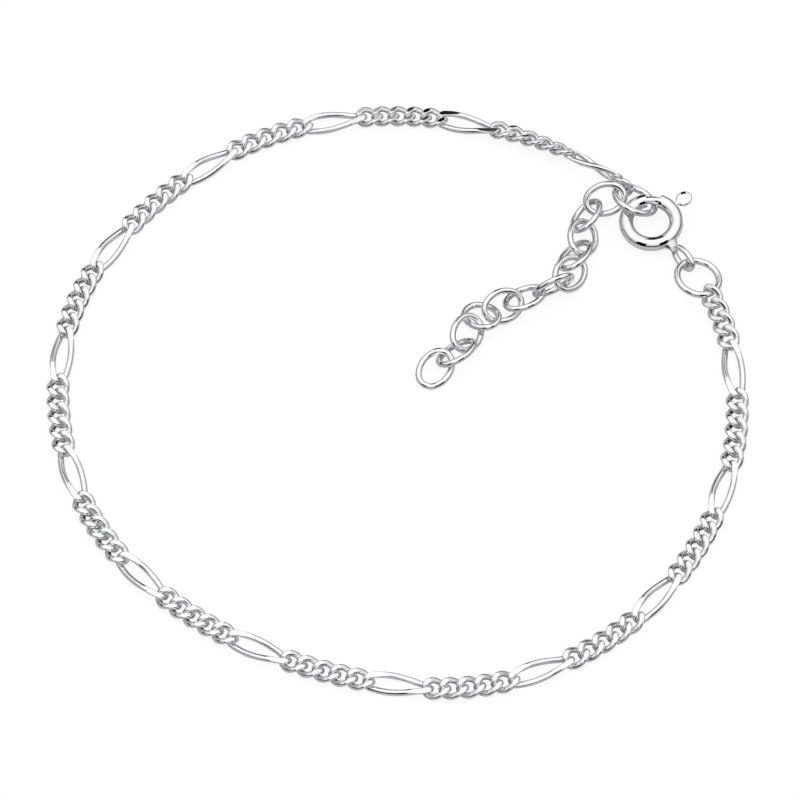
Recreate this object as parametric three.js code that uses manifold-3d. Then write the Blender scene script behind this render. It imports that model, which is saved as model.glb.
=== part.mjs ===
// A figaro chain bracelet that lies closed on a table, with a spring ring clasp and a short
// extension chain lying inside the loop. Millimetres, +Z up. The origin is on the table, under
// the middle of the bracelet.
import * as THREE from 'three';
import { ParametricGeometry } from 'three/addons/geometries/ParametricGeometry.js';
import { mergeVertices } from 'three/addons/utils/BufferGeometryUtils.js';
import Module from 'manifold-3d';

// Chain links: twisted wire loops with both faces of the chain planed flat.
const CHAIN_WIRE = 0.58;
const CHAIN_WIDTH = 2.1;
const CHAIN_THICKNESS = 0.94;
const CHAIN_TWIST = 100;
const SHORT_PITCH = 1.5;
const LONG_PITCH = 5.05;
const LINK_BITE = 0.24;

// Figaro pattern: one long link, then five short ones. The ends of the chain cut a group in two.
const LONG_LINKS = 14;
const SHORTS_BETWEEN = 5;
const SHORTS_AT_CLASP = 4;
const SHORTS_AT_EXTENDER = 1;
const LINKS_IN_FIRST_HALF = 44;
const HALVES_SLACK = 0.2;

// Course of the chain: its heading in degrees from +X, and its roll, at the clasp's end, at the
// middle of each long link and at the extender's end.
const CHAIN_START = { x: 27.75, y: 11.35 };
const COURSE = [
  { heading: 294, roll: 38 },
  { heading: 275, roll: 6 },
  { heading: 252, roll: 0 },
  { heading: 229, roll: 0 },
  { heading: 201.5, roll: 0 },
  { heading: 172, roll: 0 },
  { heading: 155.5, roll: 0 },
  { heading: 135, roll: 0 },
  { heading: 108.5, roll: 0 },
  { heading: 84.5, roll: 0 },
  { heading: 56.5, roll: 0 },
  { heading: 36, roll: 0 },
  { heading: 10.5, roll: 0 },
  { heading: -14, roll: -4 },
  { heading: -33, roll: -56 },
  { heading: -54, roll: -74 },
];

// Jump rings of round wire.
const RING_WIRE = 0.54;
const CLASP_RING = { across: 4.5, x: 26.92, y: 12.71, z: 0.87, heading: -109.5, pitch: 8.8, bank: -7.6 };
const EXTENDER_RING = { across: 4.3, x: 21.47, y: 21.03, z: 1.23, heading: 202.5, pitch: 28, bank: 10.6 };

// Extension chain: oval links, each lying where the last one left it.
const EXTENDER_WIRE = 0.56;
const EXTENDER_LENGTH = 4.16;
const EXTENDER_WIDTH = 3.2;
const EXTENDER_LINKS = [
  { x: 18.7, y: 20.8, z: 1.62, heading: -171, pitch: -15, bank: -33 },
  { x: 16.95, y: 19.3, z: 1.1, heading: -113, pitch: 4, bank: 39 },
  { x: 16.6, y: 16.95, z: 1.05, heading: -104, pitch: 6, bank: -29 },
  { x: 15.85, y: 15.0, z: 1.05, heading: -120, pitch: 7, bank: 33 },
  { x: 15.35, y: 13.0, z: 1.15, heading: -126, pitch: 7, bank: -30 },
  { x: 13.8, y: 11.4, z: 1.65, heading: -160, pitch: -18.6, bank: -102 },
  { x: 11.2, y: 10.32, z: 1.19, heading: -155, pitch: -5, bank: 22.7 },
  { x: 9.25, y: 9.5, z: 1.15, heading: -153, pitch: 2, bank: -33 },
  { x: 7.3, y: 8.6, z: 0.87, heading: -223.5, pitch: -18, bank: 3.3 },
  { x: 6.0, y: 6.65, z: 1.1, heading: -118, pitch: 3, bank: -32 },
  { x: 5.05, y: 4.6, z: 1.05, heading: -142, pitch: -3, bank: 34 },
  { x: 3.15, y: 3.16, z: 0.67, heading: -125.5, pitch: -11, bank: -9 },
];

// Spring ring clasp. Its own X axis points at its eyelet, and its angles are counted from there.
const CLASP_PLACE = { x: 22.85, y: 18.63, z: 1.1, heading: -53.5, pitch: -2.6, bank: 5.2 };
const CLASP_RADIUS = 2.28;
const TUBE_ACROSS = 1.27;
const TUBE_BORE = 0.86;
const MOUTH_START = 122;
const MOUTH_END = 154;
const BOLT_WIRE = 0.7;
const BOLT_START = 74;
const BOLT_END = 157;
const LEVER_ANGLE = 91;
const LEVER_TRAVEL = 38;
const LEVER_NECK = 0.36;
const LEVER_REACH = 3.82;
const KNOB_ACROSS = 1.45;
const KNOB_THICKNESS = 0.5;
const SLOT_WIDTH = 0.52;
const EYELET_WIRE = 0.52;
const EYELET_REACH = 6.2;
const EYELET_LENGTH = 3.4;
const EYELET_HEIGHT = 1.76;

// The middle of the bracelet's outline, which is moved onto the origin.
const OUTLINE_MIDDLE = { x: -0.246, y: 0.895 };

// How square each loop's sides are: 2 is an ellipse, and more is straighter.
const SHORT_SQUARENESS = 2.2;
const LONG_SQUARENESS = 2.6;
const EXTENDER_SQUARENESS = 2;
const EYELET_SQUARENESS = 3.2;

// Facets.
const MERGE_DISTANCE = 1e-4;
const SHORT_SIDES = 10;
const LONG_SIDES = 12;
const LINK_WIRE_SIDES = 5;
const RING_SIDES = 14;
const OVAL_SIDES = 12;
const RING_WIRE_SIDES = 6;
const TUBE_SIDES = 10;
const BORE_SIDES = 8;
const ARC_STEP = 15;
const SLOT_SEGMENTS = 6;

const wasm = await Module();
wasm.setup();

const turn = (degrees) => THREE.MathUtils.degToRad(degrees);

function silver() {
  return new THREE.MeshStandardMaterial({ color: 0xd9dadd, metalness: 1, roughness: 0.15 });
}

function toSolid(geometry) {
  const bare = new THREE.BufferGeometry();
  bare.setAttribute('position', geometry.getAttribute('position').clone());
  bare.setIndex(geometry.getIndex());
  const merged = mergeVertices(bare, MERGE_DISTANCE);
  const vertProperties = Float32Array.from(merged.getAttribute('position').array);
  const triVerts = Uint32Array.from(merged.getIndex().array);
  return new wasm.Manifold(new wasm.Mesh({ numProp: 3, vertProperties, triVerts }));
}

function toGeometry(solid) {
  const mesh = solid.getMesh();
  const geometry = new THREE.BufferGeometry();
  geometry.setAttribute('position', new THREE.BufferAttribute(mesh.vertProperties, 3));
  geometry.setIndex(new THREE.BufferAttribute(mesh.triVerts, 1));
  geometry.computeVertexNormals();
  return geometry;
}

function fuse(geometries) {
  return toGeometry(geometries.map(toSolid).reduce((sum, solid) => sum.add(solid)));
}

function place(object, { x, y, z, heading, pitch, bank }) {
  object.position.set(x, y, z);
  object.rotation.set(turn(bank), turn(-pitch), turn(heading), 'ZYX');
}

// A closed loop of wire in the XY plane, long along X. The twist turns one end against the other
// about X, and the faces are planed off beyond the thickness.
function wireLoop({ length, width, wire, squareness, twist, thickness, sides, wireSides }) {
  const halfLength = (length - wire) / 2;
  const halfWidth = (width - wire) / 2;
  const bulge = (value) => Math.sign(value) * Math.abs(value) ** (2 / squareness);
  const lean = (value) => Math.sign(value) * Math.abs(value) ** (squareness - 1);
  const point = (u, v, target) => {
    const along = bulge(Math.cos(2 * Math.PI * u));
    const across = bulge(Math.sin(2 * Math.PI * u));
    const outward = new THREE.Vector2(lean(along) / halfLength, lean(across) / halfWidth).normalize();
    const wireAngle = Math.PI * (2 * v + 1);
    const offset = (wire / 2) * Math.cos(wireAngle);
    target.set(
      halfLength * along + outward.x * offset,
      halfWidth * across + outward.y * offset,
      (wire / 2) * Math.sin(wireAngle),
    );
    target.applyAxisAngle(new THREE.Vector3(1, 0, 0), -turn(twist / 2) * along);
    target.z = THREE.MathUtils.clamp(target.z, -thickness / 2, thickness / 2);
  };
  return new ParametricGeometry(point, sides, wireSides);
}

function chainLink(pitch, squareness, sides) {
  return wireLoop({
    length: pitch + 2 * LINK_BITE + CHAIN_WIRE,
    width: CHAIN_WIDTH,
    wire: CHAIN_WIRE,
    squareness,
    twist: CHAIN_TWIST,
    thickness: CHAIN_THICKNESS,
    sides,
    wireSides: LINK_WIRE_SIDES,
  });
}

// The links in order from the clasp to the extender, each with its pitch.
function linkOrder() {
  const order = [];
  const addShorts = (count) => {
    for (let i = 0; i < count; i += 1) order.push({ long: false, pitch: SHORT_PITCH });
  };
  addShorts(SHORTS_AT_CLASP);
  for (let i = 0; i < LONG_LINKS; i += 1) {
    order.push({ long: true, pitch: LONG_PITCH });
    if (i < LONG_LINKS - 1) addShorts(SHORTS_BETWEEN);
  }
  addShorts(SHORTS_AT_EXTENDER);
  return order;
}

// The course at a distance along the chain, straight between the rows of the table.
function courseAt(distance, marks) {
  const last = marks.length - 2;
  const row = THREE.MathUtils.clamp(marks.findIndex((mark) => mark > distance) - 1, 0, last);
  const part = (distance - marks[row]) / (marks[row + 1] - marks[row]);
  return {
    heading: THREE.MathUtils.lerp(COURSE[row].heading, COURSE[row + 1].heading, part),
    roll: THREE.MathUtils.lerp(COURSE[row].roll, COURSE[row + 1].roll, part),
  };
}

// Both halves of the chain, each a list of links laid end to end and seated on the table.
function chainHalves() {
  const order = linkOrder();
  let run = 0;
  const marks = [0];
  for (const link of order) {
    link.middle = run + link.pitch / 2;
    if (link.long) marks.push(link.middle);
    run += link.pitch;
  }
  marks.push(run);
  const shortLink = chainLink(SHORT_PITCH, SHORT_SQUARENESS, SHORT_SIDES);
  const longLink = chainLink(LONG_PITCH, LONG_SQUARENESS, LONG_SIDES);
  const halves = [[], []];
  const hinge = new THREE.Vector2(CHAIN_START.x, CHAIN_START.y);
  order.forEach((link, index) => {
    const { heading, roll } = courseAt(link.middle, marks);
    const step = new THREE.Vector2(Math.cos(turn(heading)), Math.sin(turn(heading)));
    if (index === LINKS_IN_FIRST_HALF) hinge.addScaledVector(step, -HALVES_SLACK);
    const middle = hinge.clone().addScaledVector(step, link.pitch / 2);
    const geometry = (link.long ? longLink : shortLink).clone();
    geometry.rotateX(turn(roll));
    geometry.rotateZ(turn(heading));
    geometry.computeBoundingBox();
    geometry.translate(middle.x, middle.y, -geometry.boundingBox.min.z);
    halves[index < LINKS_IN_FIRST_HALF ? 0 : 1].push(geometry);
    hinge.addScaledVector(step, link.pitch);
  });
  return halves;
}

function jumpRing({ across }) {
  const radius = (across - RING_WIRE) / 2;
  return new THREE.TorusGeometry(radius, RING_WIRE / 2, RING_WIRE_SIDES, RING_SIDES);
}

function extenderLink() {
  return wireLoop({
    length: EXTENDER_LENGTH,
    width: EXTENDER_WIDTH,
    wire: EXTENDER_WIRE,
    squareness: EXTENDER_SQUARENESS,
    twist: 0,
    thickness: EXTENDER_WIRE,
    sides: OVAL_SIDES,
    wireSides: LINK_WIRE_SIDES,
  });
}

// An arc of the clasp's ring, between two angles in degrees.
class RingArc extends THREE.Curve {
  constructor(from, to) {
    super();
    this.from = turn(from);
    this.to = turn(to);
  }

  getPoint(t, target = new THREE.Vector3()) {
    const angle = THREE.MathUtils.lerp(this.from, this.to, t);
    return target.set(CLASP_RADIUS * Math.cos(angle), CLASP_RADIUS * Math.sin(angle), 0);
  }
}

function disc(across, sides) {
  const corners = [];
  for (let i = 0; i < sides; i += 1) {
    const angle = (2 * Math.PI * (i + 0.5)) / sides;
    corners.push(new THREE.Vector2(Math.cos(angle), Math.sin(angle)).multiplyScalar(across / 2));
  }
  return corners;
}

function sweepAlongRing(shape, from, to) {
  const steps = Math.ceil((to - from) / ARC_STEP);
  const extrudePath = new RingArc(from, to);
  return new THREE.ExtrudeGeometry(shape, { steps, extrudePath, bevelEnabled: false });
}

// The hollow tube, open at its mouth, with a slot for the lever and the soldered eyelet.
function claspTube() {
  const section = new THREE.Shape(disc(TUBE_ACROSS, TUBE_SIDES));
  section.holes.push(new THREE.Path(disc(TUBE_BORE, BORE_SIDES)));
  const tube = toSolid(sweepAlongRing(section, MOUTH_END, MOUTH_START + 360));

  const neckAngle = THREE.MathUtils.radToDeg(SLOT_WIDTH / 2 / (CLASP_RADIUS + TUBE_BORE / 2));
  const slotFrom = turn(LEVER_ANGLE - LEVER_TRAVEL - neckAngle);
  const slotTo = turn(LEVER_ANGLE + neckAngle);
  const slotShape = new THREE.Shape();
  slotShape.absarc(0, 0, CLASP_RADIUS + TUBE_ACROSS, slotFrom, slotTo, false);
  slotShape.absarc(0, 0, CLASP_RADIUS, slotTo, slotFrom, true);
  const slot = new THREE.ExtrudeGeometry(slotShape, {
    depth: SLOT_WIDTH,
    bevelEnabled: false,
    curveSegments: SLOT_SEGMENTS,
  });
  slot.translate(0, 0, -SLOT_WIDTH / 2);

  const eyelet = wireLoop({
    length: EYELET_LENGTH,
    width: EYELET_HEIGHT,
    wire: EYELET_WIRE,
    squareness: EYELET_SQUARENESS,
    twist: 0,
    thickness: EYELET_WIRE,
    sides: RING_SIDES,
    wireSides: RING_WIRE_SIDES,
  });
  eyelet.rotateX(turn(90));
  eyelet.translate(EYELET_REACH - EYELET_LENGTH / 2, 0, 0);
  return toGeometry(tube.subtract(toSolid(slot)).add(toSolid(eyelet)));
}

// The sliding bolt that closes the mouth, with its lever.
function claspBolt() {
  const wire = sweepAlongRing(new THREE.Shape(disc(BOLT_WIRE, BORE_SIDES)), BOLT_START, BOLT_END);
  const neckLength = LEVER_REACH - CLASP_RADIUS;
  const neck = new THREE.BoxGeometry(neckLength, LEVER_NECK, LEVER_NECK);
  neck.translate(CLASP_RADIUS + neckLength / 2, 0, 0);
  const knob = new THREE.CylinderGeometry(KNOB_ACROSS / 2, KNOB_ACROSS / 2, KNOB_THICKNESS, RING_SIDES);
  knob.rotateX(turn(90));
  knob.translate(LEVER_REACH, 0, 0);
  const lever = [neck, knob];
  lever.forEach((geometry) => geometry.rotateZ(turn(LEVER_ANGLE)));
  return fuse([wire, ...lever]);
}

function addMesh(parent, name, geometry) {
  const mesh = new THREE.Mesh(geometry, silver());
  mesh.name = name;
  parent.add(mesh);
  return mesh;
}

const bracelet = new THREE.Group();
bracelet.position.set(-OUTLINE_MIDDLE.x, -OUTLINE_MIDDLE.y, 0);

const [claspHalf, extenderHalf] = chainHalves();
addMesh(bracelet, 'chain_clasp_half', fuse(claspHalf));
addMesh(bracelet, 'chain_extender_half', fuse(extenderHalf));

place(addMesh(bracelet, 'jump_ring_clasp', jumpRing(CLASP_RING)), CLASP_RING);
place(addMesh(bracelet, 'jump_ring_extender', jumpRing(EXTENDER_RING)), EXTENDER_RING);

EXTENDER_LINKS.forEach((row, index) => {
  const name = `extender_link_${String(index + 1).padStart(2, '0')}`;
  place(addMesh(bracelet, name, extenderLink()), row);
});

const clasp = new THREE.Group();
place(clasp, CLASP_PLACE);
addMesh(clasp, 'clasp_tube', claspTube());
addMesh(clasp, 'clasp_bolt', claspBolt());
bracelet.add(clasp);

export default bracelet;
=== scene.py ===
import math

import bmesh
import bpy
import numpy as np
from mathutils import Matrix, Vector


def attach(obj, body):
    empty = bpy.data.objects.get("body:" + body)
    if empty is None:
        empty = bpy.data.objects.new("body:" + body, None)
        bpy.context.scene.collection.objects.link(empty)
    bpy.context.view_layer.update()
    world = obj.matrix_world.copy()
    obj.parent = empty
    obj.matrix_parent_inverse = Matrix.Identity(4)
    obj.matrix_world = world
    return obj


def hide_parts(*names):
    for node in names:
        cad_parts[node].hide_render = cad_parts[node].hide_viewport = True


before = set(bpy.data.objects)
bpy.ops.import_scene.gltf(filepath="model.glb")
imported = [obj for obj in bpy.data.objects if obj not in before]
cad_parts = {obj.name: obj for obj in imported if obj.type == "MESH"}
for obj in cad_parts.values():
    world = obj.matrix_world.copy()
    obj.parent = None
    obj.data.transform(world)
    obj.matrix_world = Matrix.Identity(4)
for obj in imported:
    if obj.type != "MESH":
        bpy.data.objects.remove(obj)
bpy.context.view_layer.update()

# The figaro chain: 14 long and 70 short loops of round silver wire, each bent to an oval, twisted so
# that the chain lies flat, hooked through the last and soldered shut. Both faces of the finished
# chain are planed, which leaves a bright leaf-shaped flat on every link. Sizes are in millimetres.
LINK_WIRE = 0.56
LINK_WIDTH = 2.1
LINK_BITE = 0.285
LINK_TWIST = 100
CHAIN_THICKNESS = 0.98
FLAT_RIM = 0.035
FLAT_RIM_DROP = 0.022
WIRE_SIDES = 20
PITCH = {"short": 1.5, "long": 5.05}
END_RADIUS = {"short": 0.66, "long": 0.6}
END_STEPS = 20
SIDE_STEPS = {"short": 8, "long": 16}
WELD_DISTANCE = 0.0005

LINK_ORDER = ["short"] * 4 + (["long"] + ["short"] * 5) * 13 + ["long", "short"]
LINKS_IN_FIRST_HALF = 44
HALVES_SLACK = 0.2
CHAIN_START = (27.75, 11.35)
# Heading and roll in degrees at the clasp's end, at the middle of each long link and at the far end.
COURSE = [
    (294, 38), (275, 6), (252, 0), (229, 0), (201.5, 0), (172, 0), (155.5, 0), (135, 0),
    (108.5, 0), (84.5, 0), (56.5, 0), (36, 0), (10.5, 0), (-14, -4), (-33, -56), (-54, -74),
]
OUTLINE_MIDDLE = Vector((-0.246, 0.895, 0))
MILLIMETRE = 0.001
# The silver's polish: how far noise moves the tone and the gloss, and the size of the polishing marks.
TONE_BAND = (0.35, 0.65)
GLOSS_BAND = (0.3, 0.7)
GLOSS_SHARES = (0.6, 1.4)
DRIFT_DETAIL = 2.0
MARKS_PER_DRIFT = 9
MARKS_DETAIL = 3.0
MARKS_STRENGTH = 0.25
MARKS_DEPTH = 0.000002


def bend_wire(bm, end, centre, degrees, steps):
    swept = bmesh.ops.spin(
        bm, geom=end, cent=centre, axis=(0, 0, 1), angle=math.radians(degrees), steps=steps
    )
    return swept["geom_last"]


def wire_end(bm, across, sides, place):
    face_on = Matrix.Rotation(math.radians(90), 4, "X")
    ring = bmesh.ops.create_circle(bm, segments=sides, radius=across / 2, matrix=place @ face_on)
    edges = {edge for vert in ring["verts"] for edge in vert.link_edges}
    return ring["verts"] + sorted(edges, key=lambda edge: edge.index)


def close_wire(bm):
    bmesh.ops.remove_doubles(bm, verts=bm.verts, dist=WELD_DISTANCE)
    bmesh.ops.recalc_face_normals(bm, faces=bm.faces)
    for face in bm.faces:
        face.smooth = True


class OvalLoop:
    """An oval of wire from four arcs: a tight one round each end and a slack one along each side."""

    def __init__(self, length, width, wire, end_radius):
        self.wire = wire
        self.end_radius = end_radius
        self.half_length = (length - wire) / 2
        half_width = (width - wire) / 2
        self.end_centre = self.half_length - end_radius
        rise = self.end_centre**2 + half_width**2 - end_radius**2
        self.side_radius = rise / (2 * (half_width - end_radius))
        self.side_centre = self.side_radius - half_width
        self.end_angle = math.atan2(self.side_centre, self.end_centre)

    def bend(self, sides, end_steps, side_steps):
        bm = bmesh.new()
        end_turn = math.degrees(self.end_angle)
        side_turn = 180 - 2 * end_turn
        end = wire_end(bm, self.wire, sides, Matrix.Translation((self.half_length, 0, 0)))
        end = bend_wire(bm, end, (self.end_centre, 0, 0), end_turn, end_steps // 2)
        end = bend_wire(bm, end, (0, -self.side_centre, 0), side_turn, side_steps)
        end = bend_wire(bm, end, (-self.end_centre, 0, 0), 2 * end_turn, end_steps)
        end = bend_wire(bm, end, (0, self.side_centre, 0), side_turn, side_steps)
        bend_wire(bm, end, (self.end_centre, 0, 0), end_turn, end_steps // 2)
        close_wire(bm)
        return bm

    def along(self, point):
        """How far along the loop's length the middle of the wire is, from -1 to 1."""
        past_end = abs(point.x) - self.end_centre
        if math.atan2(abs(point.y), past_end) < self.end_angle:
            reach = self.end_centre + self.end_radius * past_end / math.hypot(past_end, point.y)
        else:
            lean = math.atan2(abs(point.x), abs(point.y) + self.side_centre)
            reach = self.side_radius * math.sin(lean)
        return math.copysign(reach / self.half_length, point.x)


def twist_link(bm, loop, degrees):
    for vert in bm.verts:
        turn = math.radians(-degrees / 2) * loop.along(vert.co)
        vert.co.rotate(Matrix.Rotation(turn, 3, "X"))


def plane_faces(bm, thickness):
    for side in (1, -1):
        whole = bm.verts[:] + bm.edges[:] + bm.faces[:]
        cut = bmesh.ops.bisect_plane(
            bm, geom=whole, plane_co=(0, 0, side * thickness / 2), plane_no=(0, 0, side),
            clear_outer=True,
        )
        rim = [item for item in cut["geom_cut"] if isinstance(item, bmesh.types.BMEdge)]
        flats = bmesh.ops.edgeloop_fill(bm, edges=rim)["faces"]
        bmesh.ops.recalc_face_normals(bm, faces=bm.faces)
        worn = bmesh.ops.inset_region(
            bm, faces=flats, thickness=FLAT_RIM, use_boundary=True, use_even_offset=True
        )
        for face in worn["faces"]:
            face.smooth = True
        for vert in {vert for edge in rim for vert in edge.verts}:
            vert.co.z -= side * FLAT_RIM_DROP


def link_form(kind):
    loop = OvalLoop(
        PITCH[kind] + 2 * LINK_BITE + LINK_WIRE, LINK_WIDTH, LINK_WIRE, END_RADIUS[kind]
    )
    bm = loop.bend(WIRE_SIDES, END_STEPS, SIDE_STEPS[kind])
    twist_link(bm, loop, LINK_TWIST)
    plane_faces(bm, CHAIN_THICKNESS)
    form = bpy.data.meshes.new(f"{kind}_link_form")
    bm.to_mesh(form)
    bm.free()
    return form


def lay_chain():
    """Both halves of the chain, link after link along the course, each link seated on the table."""
    forms = {kind: link_form(kind) for kind in PITCH}
    ends = np.cumsum([PITCH[kind] for kind in LINK_ORDER])
    middles = [end - PITCH[kind] / 2 for end, kind in zip(ends, LINK_ORDER)]
    long_middles = [middle for middle, kind in zip(middles, LINK_ORDER) if kind == "long"]
    marks = [0, *long_middles, ends[-1]]
    headings, rolls = zip(*COURSE)
    halves = (bmesh.new(), bmesh.new())
    hinge = Vector((*CHAIN_START, 0))
    for index, kind in enumerate(LINK_ORDER):
        heading = math.radians(np.interp(middles[index], marks, headings))
        roll = math.radians(np.interp(middles[index], marks, rolls))
        step = Vector((math.cos(heading), math.sin(heading), 0))
        if index == LINKS_IN_FIRST_HALF:
            hinge -= step * HALVES_SLACK
        link = forms[kind].copy()
        link.transform(Matrix.Rotation(heading, 4, "Z") @ Matrix.Rotation(roll, 4, "X"))
        lowest = min(vert.co.z for vert in link.vertices)
        middle = hinge + step * PITCH[kind] / 2
        link.transform(Matrix.Translation((middle.x, middle.y, -lowest)))
        halves[0 if index < LINKS_IN_FIRST_HALF else 1].from_mesh(link)
        bpy.data.meshes.remove(link)
        hinge += step * PITCH[kind]
    for form in forms.values():
        bpy.data.meshes.remove(form)
    return halves


def polished_silver(name, tone, shade, gloss, grain):
    """Hand-polished silver: a faint drift of tone, a gloss that varies and fine polishing marks."""
    finish = bpy.data.materials.new(name)
    finish.use_nodes = True
    nodes = finish.node_tree.nodes
    links = finish.node_tree.links
    metal = nodes["Principled BSDF"]
    metal.inputs["Metallic"].default_value = 1.0
    place = nodes.new("ShaderNodeTexCoord")

    drift = nodes.new("ShaderNodeTexNoise")
    drift.inputs["Scale"].default_value = grain
    drift.inputs["Detail"].default_value = DRIFT_DETAIL
    links.new(place.outputs["Object"], drift.inputs["Vector"])
    colour = nodes.new("ShaderNodeValToRGB")
    for stop, position, hue in zip(colour.color_ramp.elements, TONE_BAND, (shade, tone)):
        stop.position = position
        stop.color = (*hue, 1)
    links.new(drift.outputs["Fac"], colour.inputs["Fac"])
    links.new(colour.outputs["Color"], metal.inputs["Base Color"])

    rub = nodes.new("ShaderNodeMapRange")
    for end, level, share in zip(("Min", "Max"), GLOSS_BAND, GLOSS_SHARES):
        rub.inputs[f"From {end}"].default_value = level
        rub.inputs[f"To {end}"].default_value = gloss * share
    links.new(drift.outputs["Fac"], rub.inputs["Value"])
    links.new(rub.outputs["Result"], metal.inputs["Roughness"])

    marks = nodes.new("ShaderNodeTexNoise")
    marks.inputs["Scale"].default_value = grain * MARKS_PER_DRIFT
    marks.inputs["Detail"].default_value = MARKS_DETAIL
    links.new(place.outputs["Object"], marks.inputs["Vector"])
    relief = nodes.new("ShaderNodeBump")
    relief.inputs["Strength"].default_value = MARKS_STRENGTH
    relief.inputs["Distance"].default_value = MARKS_DEPTH
    links.new(marks.outputs["Fac"], relief.inputs["Height"])
    links.new(relief.outputs["Normal"], metal.inputs["Normal"])
    return finish


def finish_piece(bm, name, finish, body, *nodes):
    """Makes the shape a piece in metres in the part's frame, where it rides on its body."""
    to_frame = Matrix.Scale(MILLIMETRE, 4) @ Matrix.Translation(-OUTLINE_MIDDLE)
    bmesh.ops.transform(bm, matrix=to_frame, verts=bm.verts)
    mesh = bpy.data.meshes.new(name)
    bm.to_mesh(mesh)
    bm.free()
    mesh.materials.append(finish)
    piece = bpy.data.objects.new(name, mesh)
    bpy.context.scene.collection.objects.link(piece)
    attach(piece, body)
    if nodes:
        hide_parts(*nodes)
    return piece


planed_silver = polished_silver(
    "planed_silver", tone=(0.9, 0.905, 0.915), shade=(0.86, 0.865, 0.875), gloss=0.04, grain=700
)
clasp_half, extender_half = lay_chain()
finish_piece(clasp_half, "figaro_links_clasp_half", planed_silver, "bracelet", "chain_clasp_half")
finish_piece(
    extender_half, "figaro_links_extender_half", planed_silver, "bracelet", "chain_extender_half"
)

# The jump rings: plain rings of round wire, opened, hung through a chain end and pressed shut. One
# joins the chain to the clasp's eyelet, and the other takes the clasp and carries the extension.
RING_WIRE = 0.61
RING_WIRE_SIDES = 24
RING_STEPS = 72
# Width across, place, and heading, pitch and bank in degrees.
CLASP_RING = (4.5, (26.92, 12.71, 0.87), (-109.5, 8.8, -7.6))
EXTENDER_RING = (4.5, (21.42, 20.93, 1.26), (202.5, 28, 10.6))


def lie_at(place, turns):
    heading, pitch, bank = (math.radians(turn) for turn in turns)
    turned = Matrix.Rotation(heading, 4, "Z") @ Matrix.Rotation(-pitch, 4, "Y")
    return Matrix.Translation(place) @ turned @ Matrix.Rotation(bank, 4, "X")


def jump_ring(across, place, turns):
    bm = bmesh.new()
    radius = (across - RING_WIRE) / 2
    end = wire_end(bm, RING_WIRE, RING_WIRE_SIDES, Matrix.Translation((radius, 0, 0)))
    bmesh.ops.spin(
        bm, geom=end, cent=(0, 0, 0), axis=(0, 0, 1), angle=math.tau, steps=RING_STEPS,
        use_merge=True,
    )
    close_wire(bm)
    bmesh.ops.transform(bm, matrix=lie_at(place, turns), verts=bm.verts)
    return bm


drawn_silver = polished_silver(
    "drawn_silver", tone=(0.9, 0.905, 0.91), shade=(0.85, 0.855, 0.865), gloss=0.04, grain=450
)
finish_piece(
    jump_ring(*CLASP_RING), "clasp_jump_ring", drawn_silver, "bracelet", "jump_ring_clasp"
)
finish_piece(
    jump_ring(*EXTENDER_RING), "extender_jump_ring", drawn_silver, "bracelet", "jump_ring_extender"
)

# The extension chain: twelve plain oval links of round wire that let the clasp close further along.
# It is left over when the bracelet is shut, and lies inside the loop where it fell.
EXTENDER_WIRE = 0.57
EXTENDER_LENGTH = 4.16
EXTENDER_WIDTH = 3.2
EXTENDER_END_RADIUS = 1.1
EXTENDER_STEPS = 20
# Place, and heading, pitch and bank in degrees.
EXTENDER_LINKS = [
    ((18.7, 20.8, 1.62), (-171, -15, -33)),
    ((16.95, 19.3, 1.1), (-113, 4, 39)),
    ((16.6, 16.95, 1.05), (-104, 6, -29)),
    ((15.85, 15.0, 1.05), (-120, 7, 33)),
    ((15.35, 13.0, 1.15), (-126, 7, -30)),
    ((13.8, 11.4, 1.65), (-160, -18.6, -102)),
    ((11.2, 10.32, 1.19), (-155, -5, 22.7)),
    ((9.25, 9.5, 1.15), (-153, 2, -33)),
    ((7.3, 8.6, 0.87), (-223.5, -18, 3.3)),
    ((6.0, 6.65, 1.1), (-118, 3, -32)),
    ((5.05, 4.6, 1.05), (-142, -3, 34)),
    ((3.15, 3.16, 0.67), (-125.5, -11, -9)),
]
extender_oval = OvalLoop(EXTENDER_LENGTH, EXTENDER_WIDTH, EXTENDER_WIRE, EXTENDER_END_RADIUS)
for number, (place, turns) in enumerate(EXTENDER_LINKS, start=1):
    oval_link = extender_oval.bend(RING_WIRE_SIDES, EXTENDER_STEPS, EXTENDER_STEPS)
    bmesh.ops.transform(oval_link, matrix=lie_at(place, turns), verts=oval_link.verts)
    finish_piece(
        oval_link, f"extension_oval_{number:02d}", drawn_silver, "bracelet",
        f"extender_link_{number:02d}",
    )

# The spring ring clasp's body: a ring of thin silver tube with a mouth in it, burnished at both ends,
# and a slot along its outer side where the lever runs. Angles are counted from the eyelet.
CLASP_LIE = ((22.85, 18.63, 1.1), (-53.5, -2.6, 5.2))
CLASP_RADIUS = 2.28
TUBE_ACROSS = 1.27
TUBE_BORE = 0.86
TUBE_SIDES = 32
MOUTH_START = 122
MOUTH_END = 154
TUBE_STEP = 2
SLOT_START = 48
SLOT_END = 96
SLOT_HALF_WIDTH = 0.24
MOUTH_ROUNDING = 0.03
ROUNDING_STEPS = 3
CREASE = math.radians(35)


def round_off(bm, edges, radius):
    bmesh.ops.bevel(
        bm, geom=edges, offset=radius, offset_type="OFFSET", affect="EDGES",
        segments=ROUNDING_STEPS, profile=0.5, material=-1, clamp_overlap=True,
    )


def ring_arc(bm, across, sides, start, end):
    """Wire or tube swept along the clasp's ring, with its first and last rim."""
    turned = Matrix.Rotation(math.radians(start), 4, "Z")
    rim = wire_end(bm, across, sides, turned @ Matrix.Translation((CLASP_RADIUS, 0, 0)))
    first = [item for item in rim if isinstance(item, bmesh.types.BMEdge)]
    far_rim = bend_wire(bm, rim, (0, 0, 0), end - start, (end - start) // TUBE_STEP)
    last = [item for item in far_rim if isinstance(item, bmesh.types.BMEdge)]
    return first, last


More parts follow.
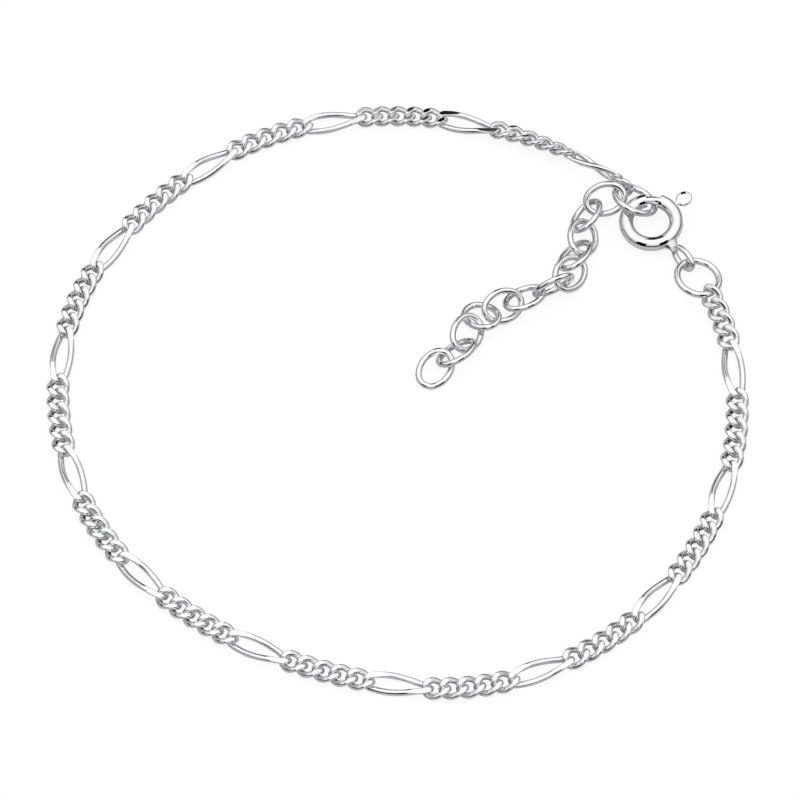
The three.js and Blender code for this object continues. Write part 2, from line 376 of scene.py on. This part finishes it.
def clasp_tube():
    bm = bmesh.new()
    full_end = MOUTH_START + 360
    outer_first, outer_last = ring_arc(bm, TUBE_ACROSS, TUBE_SIDES, MOUTH_END, full_end)
    inner_first, inner_last = ring_arc(bm, TUBE_BORE, TUBE_SIDES, MOUTH_END, full_end)
    bmesh.ops.bridge_loops(bm, edges=outer_first + inner_first)
    bmesh.ops.bridge_loops(bm, edges=outer_last + inner_last)

    slot_faces = []
    for face in bm.faces:
        middle = face.calc_center_median()
        angle = math.degrees(math.atan2(middle.y, middle.x))
        outside = middle.xy.length > CLASP_RADIUS
        if outside and SLOT_START < angle < SLOT_END and abs(middle.z) < SLOT_HALF_WIDTH:
            slot_faces.append(face)
    bmesh.ops.delete(bm, geom=slot_faces, context="FACES")
    slot_rims = [edge for edge in bm.edges if edge.is_boundary]
    bmesh.ops.bridge_loops(bm, edges=slot_rims)
    bmesh.ops.recalc_face_normals(bm, faces=bm.faces)
    round_off(bm, outer_first + outer_last, MOUTH_ROUNDING)
    return bm


def shade_smooth(piece):
    for face in piece.data.polygons:
        face.use_smooth = True
    piece.data.set_sharp_from_angle(angle=CREASE)


burnished_silver = polished_silver(
    "burnished_silver", tone=(0.9, 0.905, 0.91), shade=(0.86, 0.865, 0.875), gloss=0.07, grain=300
)
tube = clasp_tube()
bmesh.ops.transform(tube, matrix=lie_at(*CLASP_LIE), verts=tube.verts)
shade_smooth(finish_piece(tube, "spring_ring_tube", burnished_silver, "bracelet", "clasp_tube"))

# The eyelet that the jump ring hangs in: an oval of wire set across the clasp's ring, and the drop of
# silver solder that holds it to the tube.
EYELET_WIRE = 0.56
EYELET_REACH = 6.2
EYELET_LENGTH = 2.95
EYELET_HEIGHT = 1.9
EYELET_LEAN = 30
EYELET_END_RADIUS = 0.5
EYELET_STEPS = 16
SOLDER_START = 2.4
SOLDER_LENGTH = 1.3
SOLDER_FOOT = 1.05
SOLDER_TIP = 0.42
SOLDER_FLATNESS = 0.56
SOLDER_RINGS = 7
SOLDER_SIDES = 32

eyelet = OvalLoop(EYELET_LENGTH, EYELET_HEIGHT, EYELET_WIRE, EYELET_END_RADIUS).bend(
    RING_WIRE_SIDES, EYELET_STEPS, EYELET_STEPS
)
upright = Matrix.Translation((EYELET_REACH - EYELET_LENGTH / 2, 0, 0)) @ Matrix.Rotation(
    math.radians(90 - EYELET_LEAN), 4, "X"
)
bmesh.ops.transform(eyelet, matrix=lie_at(*CLASP_LIE) @ upright, verts=eyelet.verts)
finish_piece(eyelet, "clasp_eyelet", drawn_silver, "bracelet")

dull_solder = polished_silver(
    "dull_solder", tone=(0.78, 0.785, 0.795), shade=(0.7, 0.705, 0.715), gloss=0.28, grain=500
)
solder = bmesh.new()
bmesh.ops.create_cone(
    solder, cap_ends=True, segments=SOLDER_SIDES, radius1=1, radius2=1, depth=SOLDER_LENGTH,
    matrix=Matrix.Translation((SOLDER_LENGTH / 2, 0, 0)) @ Matrix.Rotation(math.radians(90), 4, "Y"),
)
sides = []
for edge in solder.edges:
    if abs(edge.verts[0].co.x - edge.verts[1].co.x) > SOLDER_LENGTH / 2:
        sides.append(edge)
bmesh.ops.subdivide_edges(solder, edges=sides, cuts=SOLDER_RINGS, use_grid_fill=True)
for vert in solder.verts:
    flare = (1 - vert.co.x / SOLDER_LENGTH) ** 2
    vert.co.yz *= SOLDER_TIP + (SOLDER_FOOT - SOLDER_TIP) * flare
bmesh.ops.scale(solder, vec=(1, 1, SOLDER_FLATNESS), verts=solder.verts)
bmesh.ops.translate(solder, vec=(SOLDER_START, 0, 0), verts=solder.verts)
bmesh.ops.transform(solder, matrix=lie_at(*CLASP_LIE), verts=solder.verts)
shade_smooth(finish_piece(solder, "eyelet_solder", dull_solder, "bracelet"))

# The bolt: a bent silver rod that slides in the tube and closes its mouth, and the flat lever with a
# round end that a fingernail pulls back along the slot.
BOLT_WIRE = 0.7
BOLT_START = 74
BOLT_END = 158
BOLT_ROUNDING = 0.1
LEVER_ANGLE = 91
LEVER_REACH = 3.82
KNOB_LENGTH = 1.56
KNOB_WIDTH = 1.4
KNOB_THICKNESS = 0.5
KNOB_SIDES = 32
KNOB_FLATNESS = 0.5
NECK_HALF_TURN = math.radians(12)
NECK_HALF_RISE = 0.4


def bolt_rod():
    bm = bmesh.new()
    first, last = ring_arc(bm, BOLT_WIRE, RING_WIRE_SIDES, BOLT_START, BOLT_END)
    for rim in (first, last):
        bmesh.ops.edgeloop_fill(bm, edges=rim)
    bmesh.ops.recalc_face_normals(bm, faces=bm.faces)
    round_off(bm, first + last, BOLT_ROUNDING)
    return bm


def bolt_lever():
    bm = bmesh.new()
    bmesh.ops.create_uvsphere(bm, u_segments=KNOB_SIDES, v_segments=KNOB_SIDES // 2, radius=1)
    neck_faces = []
    for face in bm.faces:
        middle = face.calc_center_median()
        aside = math.atan2(abs(middle.y), -middle.x)
        if aside < NECK_HALF_TURN and abs(middle.z) < NECK_HALF_RISE:
            neck_faces.append(face)
    for vert in bm.verts:
        vert.co.z = math.copysign(abs(vert.co.z) ** KNOB_FLATNESS, vert.co.z)
    half_sizes = (KNOB_LENGTH / 2, KNOB_WIDTH / 2, KNOB_THICKNESS / 2)
    bmesh.ops.scale(bm, vec=half_sizes, verts=bm.verts)
    neck = bmesh.ops.extrude_face_region(bm, geom=neck_faces)
    for item in neck["geom"]:
        if isinstance(item, bmesh.types.BMVert):
            item.co.x = CLASP_RADIUS - LEVER_REACH
    bmesh.ops.delete(bm, geom=neck_faces, context="FACES")
    bmesh.ops.recalc_face_normals(bm, faces=bm.faces)
    bmesh.ops.translate(bm, vec=(LEVER_REACH, 0, 0), verts=bm.verts)
    turned = Matrix.Rotation(math.radians(LEVER_ANGLE), 4, "Z")
    bmesh.ops.transform(bm, matrix=turned, verts=bm.verts)
    return bm


rod = bolt_rod()
bmesh.ops.transform(rod, matrix=lie_at(*CLASP_LIE), verts=rod.verts)
shade_smooth(finish_piece(rod, "bolt_rod", drawn_silver, "bolt", "clasp_bolt"))
lever = bolt_lever()
bmesh.ops.transform(lever, matrix=lie_at(*CLASP_LIE), verts=lever.verts)
shade_smooth(finish_piece(lever, "bolt_lever", burnished_silver, "bolt"))

# The studio: a white table, a white tent and a camera that looks down at the bracelet from the front.
# The tent is dark towards the horizon, which draws grey lines along the metal, and has dark gaps
# between its panels, which draw short black ones.
FLOOR_RADIUS = 3.0
FLOOR_SIDES = 64
FLOOR_DROP = 0.00002
TABLE_GREY = 0.72
TABLE_WHITE = 0.2
TABLE_GLOW = 0.86
CAMERA_AIM = Vector((0.246, -0.895, 0.46)) * MILLIMETRE
CAMERA_DISTANCE = 0.4
CAMERA_ELEVATION = math.radians(58.35)
CAMERA_LENS = 202.5
CAMERA_SENSOR = 36
CAMERA_NEAR = 0.01
CAMERA_FAR = 20
# Height in the tent as the sine of the elevation, and its brightness there.
TENT = [(0.0, 0.06), (0.24, 0.06), (0.34, 0.5), (0.5, 0.8), (0.75, 0.98), (0.9, 1.14), (1.0, 1.2)]
TENT_LEAN = 0.06
# Dark gaps between the tent's panels: the compass angle of the middle in degrees, and the half width.
TENT_GAPS = [(-122, 13), (-54, 13), (95, 9)]
TENT_GAP_EDGE = 3
TENT_GAP_TOP = 0.76
TENT_GAP_FADE = 0.06


def fill_ramp(ramp, stops):
    while len(ramp.elements) < len(stops):
        ramp.elements.new(0.5)
    for stop, (position, brightness) in zip(ramp.elements, stops):
        stop.position = position
        stop.color = (brightness, brightness, brightness, 1)


def on_compass(degrees):
    return 0.5 + degrees / 360


floor_shape = bmesh.new()
bmesh.ops.create_circle(floor_shape, cap_ends=True, segments=FLOOR_SIDES, radius=FLOOR_RADIUS)
bmesh.ops.translate(floor_shape, vec=(0, 0, -FLOOR_DROP), verts=floor_shape.verts)
floor_mesh = bpy.data.meshes.new("white_table")
floor_shape.to_mesh(floor_mesh)
floor_shape.free()
white_table = bpy.data.objects.new("white_table", floor_mesh)
bpy.context.scene.collection.objects.link(white_table)
table_white = bpy.data.materials.new("table_white")
table_white.use_nodes = True
table_nodes = table_white.node_tree.nodes
table_links = table_white.node_tree.links
table_lit = table_nodes["Principled BSDF"]
table_lit.inputs["Base Color"].default_value = (TABLE_WHITE, TABLE_WHITE, TABLE_WHITE, 1)
table_lit.inputs["Roughness"].default_value = 1.0
table_lit.inputs["Specular IOR Level"].default_value = 0.0
table_lit.inputs["Emission Color"].default_value = (1, 1, 1, 1)
table_lit.inputs["Emission Strength"].default_value = TABLE_GLOW
table_mirrored = table_nodes.new("ShaderNodeBsdfDiffuse")
table_mirrored.inputs["Color"].default_value = (TABLE_GREY, TABLE_GREY, TABLE_GREY, 1)
seen_directly = table_nodes.new("ShaderNodeLightPath")
table_mix = table_nodes.new("ShaderNodeMixShader")
table_links.new(seen_directly.outputs["Is Camera Ray"], table_mix.inputs["Fac"])
table_links.new(table_mirrored.outputs["BSDF"], table_mix.inputs[1])
table_links.new(table_lit.outputs["BSDF"], table_mix.inputs[2])
table_links.new(table_mix.outputs["Shader"], table_nodes["Material Output"].inputs["Surface"])
floor_mesh.materials.append(table_white)

tent = bpy.data.worlds.new("white_tent")
tent.use_nodes = True
bpy.context.scene.world = tent
tent_nodes = tent.node_tree.nodes
tent_links = tent.node_tree.links
tent_place = tent_nodes.new("ShaderNodeTexCoord")
tent_height = tent_nodes.new("ShaderNodeSeparateXYZ")
tent_links.new(tent_place.outputs["Generated"], tent_height.inputs["Vector"])
tent_ramp = tent_nodes.new("ShaderNodeValToRGB")
fill_ramp(tent_ramp.color_ramp, TENT)
tent_lean = tent_nodes.new("ShaderNodeMath")
tent_lean.operation = "MULTIPLY_ADD"
tent_lean.inputs[1].default_value = TENT_LEAN
tent_links.new(tent_height.outputs["Y"], tent_lean.inputs[0])
tent_links.new(tent_height.outputs["Z"], tent_lean.inputs[2])
tent_links.new(tent_lean.outputs["Value"], tent_ramp.inputs["Fac"])
tent_turn = tent_nodes.new("ShaderNodeMath")
tent_turn.operation = "ARCTAN2"
tent_links.new(tent_height.outputs["Y"], tent_turn.inputs[0])
tent_links.new(tent_height.outputs["X"], tent_turn.inputs[1])
tent_compass = tent_nodes.new("ShaderNodeMapRange")
tent_compass.inputs["From Min"].default_value = -math.pi
tent_compass.inputs["From Max"].default_value = math.pi
tent_links.new(tent_turn.outputs["Value"], tent_compass.inputs["Value"])
tent_panels = tent_nodes.new("ShaderNodeValToRGB")
panel_stops = [(0.0, 1.0), (1.0, 1.0)]
for middle, half_width in TENT_GAPS:
    for side in (-1, 1):
        panel_stops.append((on_compass(middle + side * half_width), 0.0))
        panel_stops.append((on_compass(middle + side * (half_width + TENT_GAP_EDGE)), 1.0))
fill_ramp(tent_panels.color_ramp, sorted(panel_stops))
tent_links.new(tent_compass.outputs["Result"], tent_panels.inputs["Fac"])
tent_roof = tent_nodes.new("ShaderNodeMapRange")
tent_roof.inputs["From Min"].default_value = TENT_GAP_TOP
tent_roof.inputs["From Max"].default_value = TENT_GAP_TOP + TENT_GAP_FADE
tent_links.new(tent_height.outputs["Z"], tent_roof.inputs["Value"])
tent_open = tent_nodes.new("ShaderNodeMath")
tent_open.operation = "MAXIMUM"
tent_links.new(tent_panels.outputs["Color"], tent_open.inputs[0])
tent_links.new(tent_roof.outputs["Result"], tent_open.inputs[1])
tent_light = tent_nodes["Background"]
tent_links.new(tent_open.outputs["Value"], tent_light.inputs["Strength"])
tent_links.new(tent_ramp.outputs["Color"], tent_light.inputs["Color"])

camera_data = bpy.data.cameras.new("front_camera")
camera_data.sensor_width = CAMERA_SENSOR
camera_data.lens = CAMERA_LENS
camera_data.clip_start = CAMERA_NEAR
camera_data.clip_end = CAMERA_FAR
camera = bpy.data.objects.new("front_camera", camera_data)
away = Vector((0, -math.cos(CAMERA_ELEVATION), math.sin(CAMERA_ELEVATION)))
camera.location = CAMERA_AIM + away * CAMERA_DISTANCE
camera.rotation_euler = (math.radians(90) - CAMERA_ELEVATION, 0, 0)
bpy.context.scene.collection.objects.link(camera)
bpy.context.scene.camera = camera
bpy.context.scene.view_settings.view_transform = "Standard"
